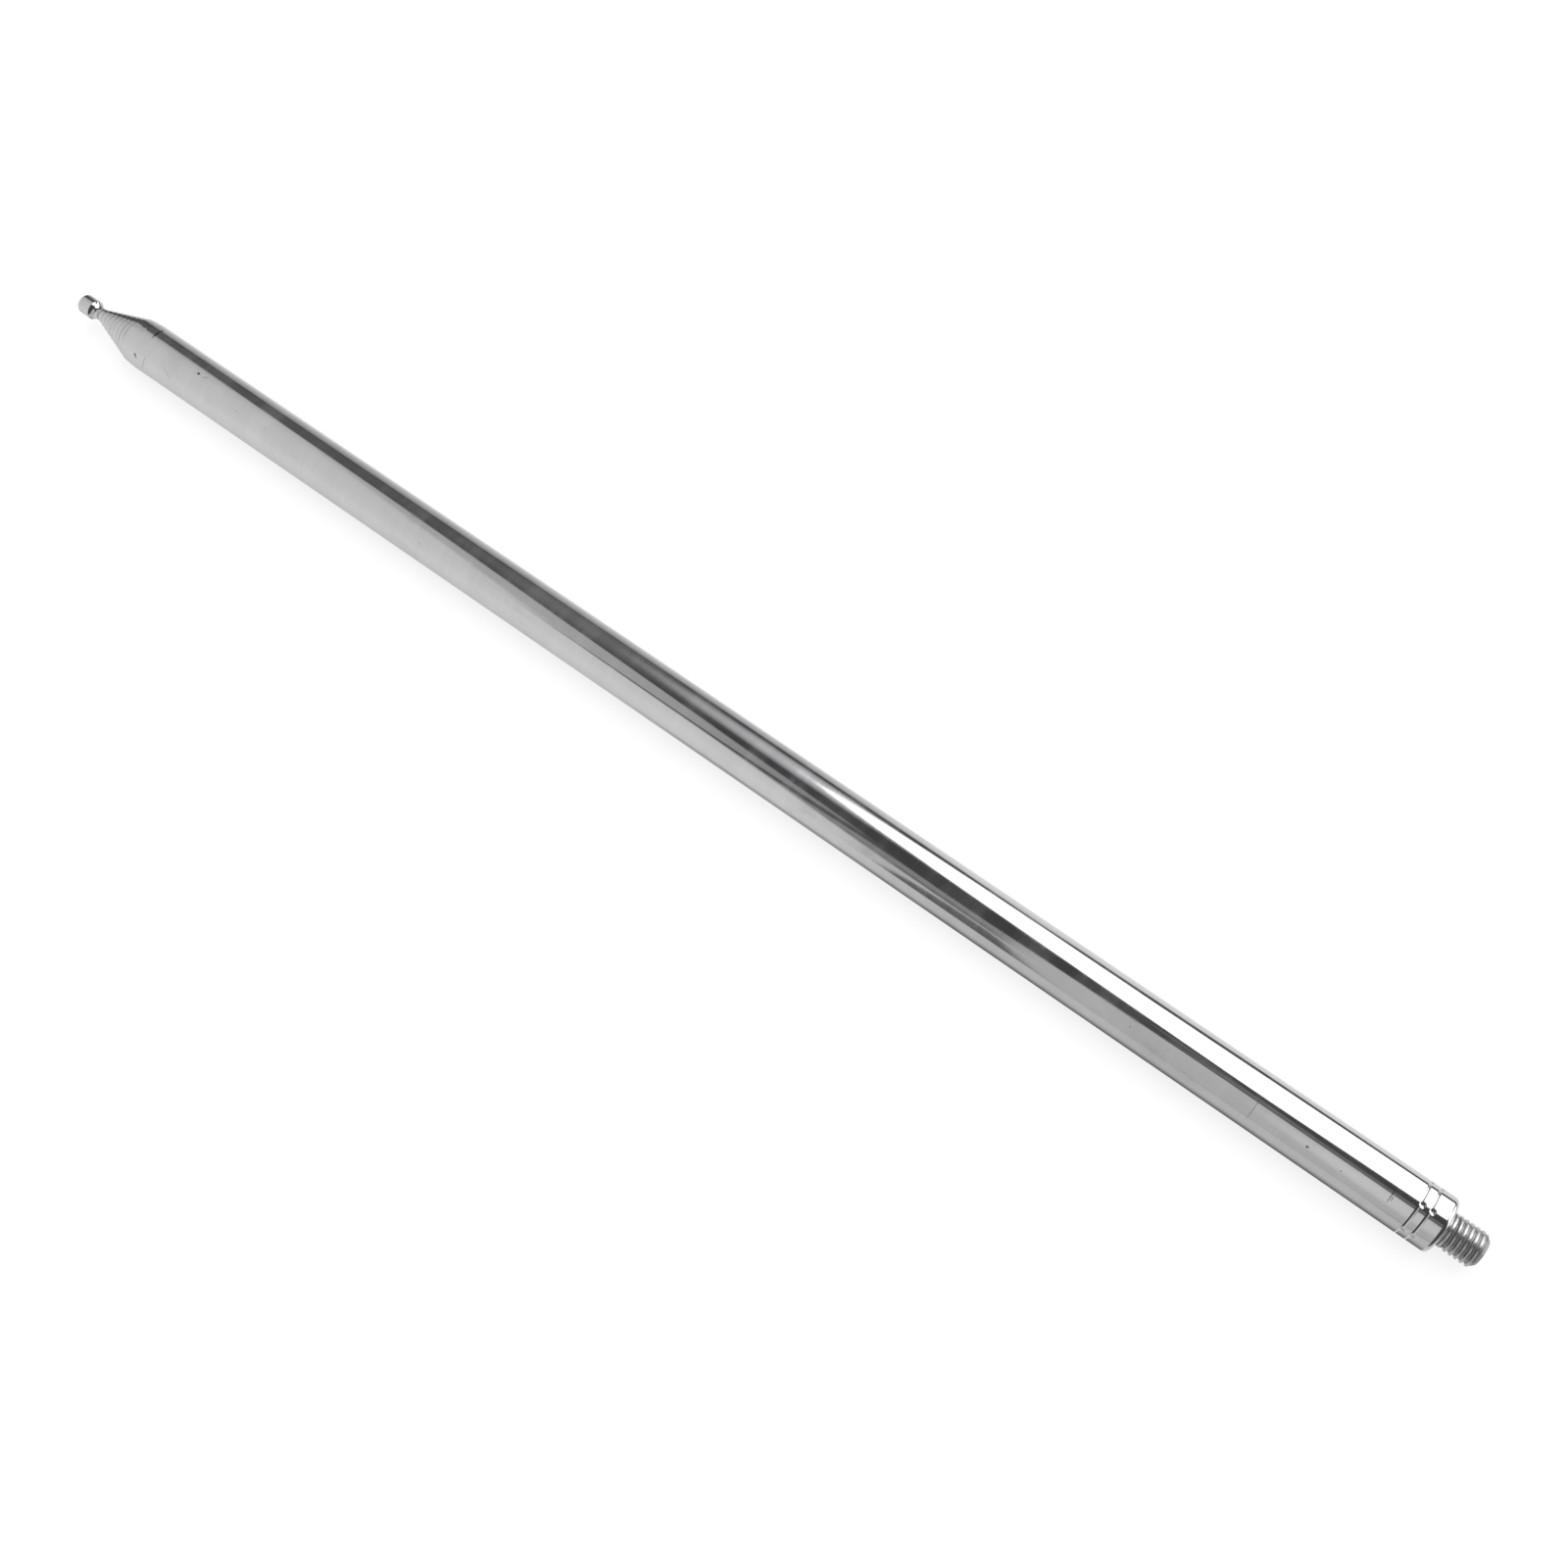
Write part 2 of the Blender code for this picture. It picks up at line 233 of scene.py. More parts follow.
# Outlines, as lists of (station, radius)

NOSE_STEPS = 14
STEEP_SHARE = 0.3  # how much of the outer tube's shoulder the drop takes
RIM_STEPS = 3
RING_STEPS = 8
RING_WIDENING, RING_KEEPING = 0.7, 0.3  # powers that widen a ring's floor and keep its depth
LONG_STRAIGHT = 4  # a straight of more gaps than this gets holding rings


def arc(centre, radius, start, end, steps):
    points = []
    for step in range(steps + 1):
        angle = math.radians(start + (end - start) * step / steps)
        points.append((centre[0] + radius * math.cos(angle), centre[1] + radius * math.sin(angle)))
    return points


def nose_outline(section):
    """The bulging nose, its rounded rim and the guide inside it, back to the bore."""
    t = tubes()
    full = outer(section) - (t.shoulder if section == 1 else 0.0)
    drop = full - mouth(section) - t.rim_wall
    start, end = nose_start(section), rim(section)
    points = [(start, outer(section))]
    if section == 1:
        points += [(start + t.shoulder_length * STEEP_SHARE, full), (start + t.shoulder_length, full)]
    for index in range(1, NOSE_STEPS + 1):
        along = index / NOSE_STEPS * (1 - t.rim_round / (end - start))
        points.append((start + along * (end - start), full - drop * along**2))
    corner, last = end - t.rim_round, full - drop
    points += arc((corner, last - t.rim_round), t.rim_round, 60, 0, RIM_STEPS)
    points += arc((corner, mouth(section) + t.rim_round), t.rim_round, 0, -90, RIM_STEPS)
    points += [(end - t.neck_land, mouth(section)), (start, bore(section))]
    return points


def ring_groove(station, radius, depth, width):
    """A rolled ring with soft shoulders."""
    points = []
    for index in range(RING_STEPS + 1):
        along = index / RING_STEPS * 2 - 1
        sink = depth * (math.cos(math.pi * along) + 1) / 2
        points.append((station + along * width / 2, radius - sink**RING_WIDENING * depth**RING_KEEPING))
    return points


def held(outline, gap):
    """Adds rings close to both ends of each long straight, so its shading stays straight."""
    points = [outline[0]]
    for before, after in zip(outline, outline[1:]):
        span = Vector(after) - Vector(before)
        if span.length > LONG_STRAIGHT * gap:
            step = span.normalized() * gap
            points.append(tuple(Vector(before) + step))
            points.append(tuple(Vector(after) - step))
        points.append(after)
    return points


# Modelling


def mode(name):
    bpy.ops.object.mode_set(mode=name)


def begin(primitive, **settings):
    """Adds one primitive with nothing else selected, and returns it in edit mode."""
    bpy.ops.object.select_all(action="DESELECT")
    primitive(**settings)
    mode("EDIT")
    return bpy.context.object


def drawn(outline, facets):
    """Draws a ring out along the axis, from point to point of an outline of (station, radius)."""
    station, radius = outline[0]
    piece = begin(
        bpy.ops.mesh.primitive_circle_add,
        vertices=facets,
        radius=radius,
        location=(-station, 0, 0),
        rotation=(0, math.pi / 2, 0),
    )
    bpy.ops.mesh.select_all(action="SELECT")
    for after in outline[1:]:
        bpy.ops.mesh.extrude_region_move(TRANSFORM_OT_translate={"value": (station - after[0], 0, 0)})
        factor = after[1] / radius
        bpy.ops.transform.resize(value=(1, factor, factor), center_override=(-after[0], 0, 0))
        station, radius = after
    return piece


def close_ends(closed_outline):
    """Joins the two ends of a shell to each other, or closes each with a flat face."""
    bpy.ops.mesh.select_mode(type="EDGE")
    bpy.ops.mesh.select_all(action="DESELECT")
    bpy.ops.mesh.select_non_manifold()
    if closed_outline:
        bpy.ops.mesh.bridge_edge_loops()
    else:
        bpy.ops.mesh.edge_face_add()
    face_outwards()


def face_outwards():
    bpy.ops.mesh.select_all(action="SELECT")
    bpy.ops.mesh.normals_make_consistent(inside=False)


def pick(piece):
    """Leaves edit mode, with only this piece selected and active."""
    mode("OBJECT")
    bpy.ops.object.select_all(action="DESELECT")
    piece.select_set(True)
    bpy.context.view_layer.objects.active = piece


def finish_piece(piece, name, body, replaced, finish, smooth=35):
    """Puts the piece's place in its mesh, rounds its shading below an angle and hands it to its body."""
    pick(piece)
    bpy.ops.object.transform_apply(location=True, rotation=True, scale=True)
    bpy.ops.object.shade_smooth_by_angle(angle=math.radians(smooth))
    piece.name = name
    piece.data.name = name
    piece.data.materials.clear()
    piece.data.materials.append(bpy.data.materials[finish])
    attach(piece, body)
    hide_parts(replaced)


# Nodes


def feed(socket, value):
    """Links an input to a socket, or sets it to a plain value."""
    if isinstance(value, NodeSocket):
        socket.id_data.links.new(value, socket)
    else:
        socket.default_value = value


def add(tree, kind, **values):
    """A shader node with some of its properties set, and inputs set or linked."""
    node = tree.nodes.new("ShaderNode" + kind)
    for key, value in values.items():
        if key in node.inputs:
            feed(node.inputs[key], value)
        else:
            setattr(node, key, value)
    return node


def tree_of(*values):
    """The node tree of the first socket among these values."""
    return next(value.id_data for value in values if isinstance(value, NodeSocket))


def maths(operation, *values, clamp=False):
    """A Math node on sockets or plain numbers. Returns its output."""
    node = add(tree_of(*values), "Math", operation=operation, use_clamp=clamp)
    for index, value in enumerate(values):
        feed(node.inputs[index], value)
    return node.outputs[0]


def chain(operation):
    """A function that joins two or more values with one kind of Math node."""

    def joined(first, *others, clamp=False):
        for other in others:
            first = maths(operation, first, other, clamp=clamp)
        return first

    return joined


times, plus, minus, larger = map(chain, ("MULTIPLY", "ADD", "SUBTRACT", "MAXIMUM"))


def squared(value, reach):
    """The square of a distance, with its reach as the unit."""
    return maths("POWER", maths("ABSOLUTE", maths("DIVIDE", value, reach)), 2.0)


def remap(value, low, high, to_low=0.0, to_high=1.0, kind="LINEAR"):
    """Carries a range of values over to another range."""
    node = add(tree_of(value), "MapRange", interpolation_type=kind, Value=value)
    for label, number in (("From Min", low), ("From Max", high), ("To Min", to_low), ("To Max", to_high)):
        feed(node.inputs[label], number)
    return node.outputs["Result"]


def eased(value, low, high, to_low=0.0, to_high=1.0):
    """The same, with a soft start and end."""
    return remap(value, low, high, to_low, to_high, "SMOOTHSTEP")


def blended(factor, first, second):
    """Mixes two colours, each a socket or a tuple."""
    node = add(tree_of(factor), "Mix", data_type="RGBA", Factor=factor)
    for label, value in (("A", first), ("B", second)):
        socket = next(s for s in node.inputs if s.name == label and s.type == "RGBA")
        feed(socket, value if isinstance(value, NodeSocket) else (*value, 1.0))
    return next(s for s in node.outputs if s.type == "RGBA")


def scaled_colour(tint, tone):
    """A colour that a tone darkens or lightens."""
    return add(tree_of(tone), "VectorMath", operation="SCALE", Vector=tint, Scale=tone).outputs["Vector"]


def mixed_shaders(factor, first, second):
    node = add(tree_of(factor), "MixShader", Fac=factor)
    feed(node.inputs[1], first)
    feed(node.inputs[2], second)
    return node.outputs["Shader"]


def axes_of(tree, kind):
    """The X, Y and Z of one kind of texture coordinates."""
    place = add(tree, "TexCoord")
    return add(tree, "SeparateXYZ", Vector=place.outputs[kind]).outputs


def stretched(tree, scale):
    """Object coordinates, scaled along each axis to so many units in a metre."""
    place = add(tree, "TexCoord")
    return add(tree, "Mapping", Vector=place.outputs["Object"], Scale=scale).outputs["Vector"]


def stretched_noise(tree, scale, detail=3.0, roughness=0.55):
    """Noise that is finer along some axes than along others."""
    place = stretched(tree, scale)
    noise = add(tree, "TexNoise", Vector=place, Scale=1.0, Detail=detail, Roughness=roughness)
    return noise.outputs["Fac"]


# Finishes

NOISE_MIDDLE = 0.5
FINE_SHARE, COARSE_SHARE = 0.4, 0.6
RING_TONE, SMEAR_TONE, BAND_TONE = 0.14, 0.09, 0.10
RING_ROUGHNESS, SMEAR_ROUGHNESS, HAZE_ROUGHNESS = 0.08, 0.08, 0.05
HAZE_DULLING = 0.05  # how much less metallic the haze is
NICK_SHARE = 0.10  # of all the places where a nick could be
NICK_CORE = 0.4  # of a nick's reach, fully dark
TOOL_TONE_LOW, TOOL_TONE = 0.86, 0.28
# The first lays the dark colour over the nicks and over the painted shade with soiling past each rim; the
# others roughen and dent those places and the worn marks.
DIRT_AND_SHADE_COVER, DIRT_ROUGHNESS, DIRT_DEPTH = 0.8, 0.35, 2.0
WORN_AS_DIRT = 0.5
LEAST_ROUGHNESS = 0.03
GROOVE_DIRT_ROUGHNESS = 0.3
POLISH_BUMP = (0.25, 0.000004)  # strength and distance
TOOL_BUMP = (0.3, 0.00001)

# Marks that wear has left on the body: station, roll, half length, half width, turn and strength,
# in millimetres and degrees
WORN_MARKS = (
    (453.8, 19.5, 3.1, 0.40, 97.0, 0.95),
    (452.3, -63.0, 3.0, 0.24, 78.0, 0.35),
    (455.9, -57.0, 0.95, 0.50, 130.0, 0.85),
    (432.0, -8.0, 0.62, 0.44, 10.0, 1.0),
    (429.1, -7.0, 1.5, 0.26, 29.0, 0.30),
    (442.0, -50.0, 3.0, 0.30, 148.0, 0.16),
    (53.3, -37.5, 3.8, 0.15, 90.0, 0.50),
    (37.6, -38.8, 0.44, 0.38, 0.0, 0.95),
    (27.8, -41.4, 0.30, 0.26, 0.0, 0.40),
    (15.0, -25.3, 2.4, 0.16, 90.0, 0.65),
    (9.5, -59.6, 9.5, 0.14, 0.0, 0.35),
)


def new_group(name, inputs, outputs):
    """A shader group with named numbers going in and out: (group, what it is given, what it puts out)."""
    group = bpy.data.node_groups.new(name, "ShaderNodeTree")
    for label, value in inputs.items():
        socket = group.interface.new_socket(label, in_out="INPUT", socket_type="NodeSocketFloat")
        socket.default_value = value
    for label in outputs:
        group.interface.new_socket(label, in_out="OUTPUT", socket_type="NodeSocketFloat")
    return group, group.nodes.new("NodeGroupInput").outputs, group.nodes.new("NodeGroupOutput").inputs


def polish_marks_group():
    """Fine rings left by polishing the turning tube, cleaning smears and a hazy bloom in bands round it."""
    group, given, out = new_group(
        "polish marks",
        {"Ring Strength": 1.0, "Smear Strength": 1.0, "Haze Strength": 1.0},
        ("Tone", "Roughness", "Metallic", "Height"),
    )
    fine = stretched_noise(group, (2600, 70, 70), detail=2.0)
    coarse = stretched_noise(group, (420, 45, 45))
    smear = stretched_noise(group, (60, 130, 130), detail=5.0)
    bands = stretched_noise(group, (95, 28, 28), detail=5.0, roughness=0.68)
    cloud = stretched_noise(group, (22, 40, 40))
    rings = plus(times(fine, FINE_SHARE), times(coarse, COARSE_SHARE))
    rings = times(minus(rings, NOISE_MIDDLE), given["Ring Strength"])
    smears = times(eased(smear, 0.54, 0.76), given["Smear Strength"])
    patchy = eased(cloud, 0.35, 0.6, 0.25, 1.0)
    haze = times(eased(bands, 0.40, 0.72), patchy, given["Haze Strength"])
    tone = plus(1.0, times(rings, RING_TONE))
    tone = minus(tone, times(smears, SMEAR_TONE))
    tone = plus(tone, times(minus(bands, NOISE_MIDDLE), BAND_TONE))
    rough = plus(times(rings, RING_ROUGHNESS), times(smears, SMEAR_ROUGHNESS))
    rough = plus(rough, times(haze, HAZE_ROUGHNESS))
    feed(out["Tone"], tone)
    feed(out["Roughness"], rough)
    feed(out["Metallic"], minus(1.0, times(haze, HAZE_DULLING)))
    feed(out["Height"], rings)


def rim_shade_and_dirt_group():
    """Thin dark rings on each section just outside the rim that it slides in: painted shade where the rim
    overhangs the section, also standing for soiling that gathers there.
    """
    t = tubes()
    group, given, out = new_group("rim shade and dirt", {"Strength": 1.0}, ("Mask",))
    station = times(axes_of(group, "Object")["X"], -1.0)
    steps = maths("DIVIDE", minus(station, t.first_rim), t.rim_step)
    ring = eased(maths("FRACT", steps), 0.10, 0.42, 0.8, 0.0)
    inside = times(maths("GREATER_THAN", steps, -0.02), maths("LESS_THAN", steps, SECTIONS - 1.6))
    patchy = eased(stretched_noise(group, (240, 260, 260)), 0.38, 0.62, 0.3, 1.0)
    feed(out["Mask"], times(ring, inside, patchy, given["Strength"], clamp=True))


def scratches_group():
    """The worn marks, each a ragged oval that is turned on the surface."""
    group, given, out = new_group("scratches", {"Strength": 1.0}, ("Mask",))
    axes = axes_of(group, "Object")
    roll = maths("ARCTAN2", axes["Y"], axes["Z"])
    ragged = remap(stretched_noise(group, (1500, 900, 900), detail=4.0), 0.3, 0.6, 0.5, 1.0)
    mask = 0.0
    for station, around, half_length, half_width, turn, strength in WORN_MARKS:
        sine, cosine = math.sin(math.radians(turn)), math.cos(math.radians(turn))
        beside = maths("MULTIPLY_ADD", axes["X"], -1.0, -station * MM)
        over = times(minus(roll, math.radians(around)), tubes().radius)
        lengthwise = maths("MULTIPLY_ADD", over, sine, times(beside, -cosine))
        across = maths("MULTIPLY_ADD", over, cosine, times(beside, sine))
        reach = plus(squared(lengthwise, half_length * MM), squared(across, half_width * MM))
        mask = larger(mask, times(eased(reach, 0.35, 1.25, 1.0, 0.0), strength))
    feed(out["Mask"], times(mask, ragged, given["Strength"], clamp=True))


def nicks_group():
    """Sparse short scratches across the axis and tiny dark pits."""
    group, given, out = new_group("nicks", {"Amount": 1.0}, ("Mask",))
    mask = 0.0
    for scale, reach in (((620, 95, 95), 0.10), ((300, 330, 330), 0.085)):
        cells = add(group, "TexVoronoi", Vector=stretched(group, scale), Scale=1.0).outputs
        spot = eased(cells["Distance"], reach * NICK_CORE, reach, 1.0, 0.0)
        chosen = add(group, "SeparateColor", Color=cells["Color"]).outputs["Red"]
        mask = larger(mask, times(spot, maths("LESS_THAN", chosen, NICK_SHARE)))
    feed(out["Mask"], times(mask, given["Amount"], clamp=True))


def lathe_rings_group():
    """Tool marks of a turned piece, and dirt that stays in its deeper places."""
    group, given, out = new_group(
        "lathe rings", {"Clean Radius": 0.0048, "Dirty Radius": 0.0040}, ("Tone", "Dirt", "Height")
    )
    axes = axes_of(group, "Object")
    radius = maths("SQRT", plus(maths("POWER", axes["Y"], 2.0), maths("POWER", axes["Z"], 2.0)))
    fine = stretched_noise(group, (5200, 60, 60), detail=2.0)
    grain = stretched_noise(group, (900, 900, 900), detail=4.0)
    depth = eased(radius, given["Dirty Radius"], given["Clean Radius"], 1.0, 0.0)
    feed(out["Tone"], plus(TOOL_TONE_LOW, times(fine, TOOL_TONE)))
    feed(out["Dirt"], times(depth, remap(grain, 0.35, 0.75, 0.55, 1.0), clamp=True))
    feed(out["Height"], fine)


def placed(tree, group, **values):
    """Puts a finish group in a material with its own values, and returns what it puts out."""
    node = add(tree, "Group", node_tree=bpy.data.node_groups[group])
    for label, value in values.items():
        node.inputs[label.replace("_", " ")].default_value = value
    return node.outputs


def new_material(name, roughness, metallic=0.0):
    """A material with its shader's plain values set, and the shader."""
    made = bpy.data.materials.new(name)
    made.use_nodes = True
    shader = made.node_tree.nodes["Principled BSDF"]
    shader.inputs["Metallic"].default_value = metallic
    shader.inputs["Roughness"].default_value = roughness
    return made, shader


def vary(shader, tint, rough, height, strength, distance):
    """Gives a metal's shader its varying colour and roughness, and a bump from a height."""
    bump = add(tree_of(height), "Bump", Strength=strength, Distance=distance, Height=height)
    feed(shader.inputs["Base Color"], tint)
    feed(shader.inputs["Roughness"], rough)
    feed(shader.inputs["Normal"], bump.outputs["Normal"])


def polished_steel(name, base_roughness, rings, smears, nicks, rim_shade_and_dirt=0.0, scratches=0.0):
    """Mirror-polished stainless steel with ring marks, smears, haze, a few nicks, and painted shade with
    soiling just past each rim.
    """
    made, shader = new_material(name, base_roughness, 1.0)
    tree = made.node_tree
    marks = placed(tree, "polish marks", Ring_Strength=rings, Smear_Strength=smears, Haze_Strength=smears)
    dirt_and_shade = placed(tree, "nicks", Amount=nicks)["Mask"]
    # Painted shade, with soiling, just past each rim that the section slides in.
    if rim_shade_and_dirt:
        dirt_and_shade = larger(dirt_and_shade, placed(tree, "rim shade and dirt", Strength=rim_shade_and_dirt)["Mask"])
    tint = scaled_colour(colours().steel, marks["Tone"])
    tint = blended(times(dirt_and_shade, DIRT_AND_SHADE_COVER), tint, colours().grime_and_shade)
    if scratches:
        worn = placed(tree, "scratches", Strength=scratches)["Mask"]
        tint = blended(worn, tint, colours().wear)
        dirt_and_shade = larger(dirt_and_shade, times(worn, WORN_AS_DIRT))
    rough = plus(base_roughness, marks["Roughness"])
    rough = plus(rough, times(dirt_and_shade, DIRT_ROUGHNESS), clamp=True)
    height = minus(marks["Height"], times(dirt_and_shade, DIRT_DEPTH))
    vary(shader, tint, larger(rough, LEAST_ROUGHNESS), height, *POLISH_BUMP)
    feed(shader.inputs["Metallic"], marks["Metallic"])


def turned_metal(name, tint, base_roughness, clean, dirty, grime_and_shade):
    """A turned metal with tool marks, and dirt below its clean radius."""
    made, shader = new_material(name, base_roughness, 1.0)
    marks = placed(made.node_tree, "lathe rings", Clean_Radius=clean, Dirty_Radius=dirty)
    surface = scaled_colour(tint, marks["Tone"])
    # On the stud this dark colour lays only soiling in the deeper places.
    surface = blended(times(marks["Dirt"], grime_and_shade), surface, colours().grime_and_shade)
    rough = plus(base_roughness, times(marks["Dirt"], GROOVE_DIRT_ROUGHNESS), clamp=True)
    vary(shader, surface, rough, marks["Height"], *TOOL_BUMP)
    return made


class ANTENNA_OT_finishes(Operator):
    """Makes the surface finishes, and puts the hidden springs and bushes in theirs"""

    bl_idname = "antenna.finishes"
    bl_label = "Finishes"

    def execute(self, context):
        polish_marks_group()
        nicks_group()
        lathe_rings_group()
        rim_shade_and_dirt_group()
        scratches_group()
        polished_steel("polished body steel", 0.075, 1.0, 1.0, 0.8, scratches=1.0)
        # The sections get painted shade, with soiling, just past each rim.
        polished_steel("polished section steel", 0.09, 0.8, 0.6, 0.5, rim_shade_and_dirt=1.0)
        polished_steel("polished cap steel", 0.10, 0.6, 0.8, 0.4)
        c = colours()
        turned_metal("turned stud steel", c.stud, 0.27, 4.80 * MM, 4.3 * MM, 0.55)
        brass = turned_metal("turned bush brass", c.brass, 0.28, 1.0 * MM, 0.5 * MM, 0.4)
        bronze = turned_metal("rolled spring bronze", c.bronze, 0.25, 1.0 * MM, 0.5 * MM, 0.4)
        for section in range(2, SECTIONS + 1):
            for node, finish in ((f"stop_bush_{section}", brass), (f"contact_spring_{section}", bronze)):
                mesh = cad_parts[node].data
                mesh.materials.clear()
                mesh.materials.append(finish)
        return {"FINISHED"}


class ANTENNA_OT_body_tube(Operator):
    """Draws the outer tube with its rolled rings, staking dimples and swaged nose"""

    bl_idname = "antenna.body_tube"
    bl_label = "Body tube"

    RING_SPACING = 0.12 * MM  # between the fine rings that the dimples are pressed in

    def execute(self, context):
        b, t = base(), tubes()
        radius, half = outer(1), b.groove_width / 2
        corner = (b.round, radius - b.round)
        outline = [(0.0, radius - b.round - b.lip)]
        outline += arc(corner, b.round, 180, 90, 10)
        start = b.round
        for groove in grooves():
            outline += self.fine_straight(start, groove - half, radius)
            outline += ring_groove(groove, radius, b.groove_depth, b.groove_width)
            start = groove + half
        outline += self.fine_straight(start, groove + b.groove_pitch / 2, radius)
        outline += nose_outline(1)
        outline.append((b.round, bore(1)))
        outline += arc(corner, b.round - t.wall, 90, 180, 6)
        outline.append((t.wall, radius - b.round - b.lip))
        tube = drawn(held(outline, t.hold), t.facets)
        close_ends(True)
        self.stake(tube, radius)
        finish_piece(tube, "body_tube", "base", "outer_tube", "polished body steel")
        return {"FINISHED"}

    def fine_straight(self, start, end, radius):
        """Closely spaced rings, which the dimples need round them."""
        count = max(2, round((end - start) / self.RING_SPACING))
        return [(start + (end - start) * index / count, radius) for index in range(1, count)]

    def stake(self, tube, radius):
        """Presses each dimple in with a soft round falloff."""
        b = base()
        bpy.ops.mesh.select_mode(type="VERT")
        to_mesh = tube.matrix_world.inverted()
        for groove in grooves():
            for index in range(b.dimples):
                angle = b.dimple_turn + index * math.tau / b.dimples
                out = Vector((0, -math.sin(angle), math.cos(angle)))
                place = to_mesh @ (Vector((b.dimple_offset - groove, 0, 0)) + out * radius)
                bpy.ops.mesh.select_all(action="DESELECT")
                mesh = bmesh.from_edit_mesh(tube.data)
                min(mesh.verts, key=lambda vert: (vert.co - place).length_squared).select = True
                mesh.select_flush_mode()
                bmesh.update_edit_mesh(tube.data)
                bpy.ops.transform.translate(
                    value=out * -b.dimple_depth,
                    use_proportional_edit=True,
                    use_proportional_connected=True,
                    proportional_edit_falloff="INVERSE_SQUARE",
                    proportional_size=b.dimple_radius,
                )


class ANTENNA_OT_section_tubes(Operator):
    """Draws the eight sliding tubes, each with a flared lower end and a swaged nose"""

    bl_idname = "antenna.section_tubes"
    bl_label = "Section tubes"

    def execute(self, context):
        t = tubes()
        for section in range(2, SECTIONS):
            flare = bore(section - 1) - t.flare_clearance
            outline = [(t.rest, flare), (t.rest + t.flare, outer(section))]
            outline += nose_outline(section)
            outline += [(t.rest + t.flare, bore(section)), (t.rest, flare - t.wall)]
            tube = drawn(held(outline, t.hold), t.section_facets)
            close_ends(True)
            name = f"section_{section}"
            replaced = f"section_tube_{section}"
            finish_piece(tube, name, name, replaced, "polished section steel")
        return {"FINISHED"}


class ANTENNA_OT_tip(Operator):
    """Draws the solid top rod and turns the cap on its end"""

    bl_idname = "antenna.tip"
    bl_label = "Rod and cap"

    BORE_END_GAP = 0.3 * MM
    CONE_STEPS = 12
    CONE_CURVE = 2.1  # power that hollows the cone
    CONE_EDGE = 0.12 * MM

    def execute(self, context):
        t, p = tubes(), tip()
        radius = outer(SECTIONS)
        flare = bore(SECTIONS - 1) - t.flare_clearance
        end = cap_start() + p.bore_depth - self.BORE_END_GAP
        outline = [(t.rest, flare), (t.rest + t.flare, radius), (end, radius)]
        rod = drawn(held(outline, t.hold), t.section_facets)
        close_ends(False)
        body = f"section_{SECTIONS}"
        finish_piece(rod, "rod", body, "top_rod", "polished section steel")

        start, front = cap_start(), cap_start() + p.cap_length
        gap = radius + p.bore_gap
        rise = p.cap_radius - gap - p.cap_lip
        outline = [(start + p.bore_depth, gap), (start, gap)]
        for index in range(self.CONE_STEPS + 1):
            along = index / self.CONE_STEPS
            outline.append((start + along * p.cap_cone, gap + p.cap_lip + rise * along**self.CONE_CURVE))
        outline.append((start + p.cap_cone + self.CONE_EDGE, p.cap_radius))
        outline += arc((front - p.cap_round, p.cap_radius - p.cap_round), p.cap_round, 90, 0, 10)
        cap = drawn(held(outline, self.CONE_EDGE), t.section_facets)
        close_ends(False)
        finish_piece(cap, "cap", body, "tip_cap", "polished cap steel")
        return {"FINISHED"}


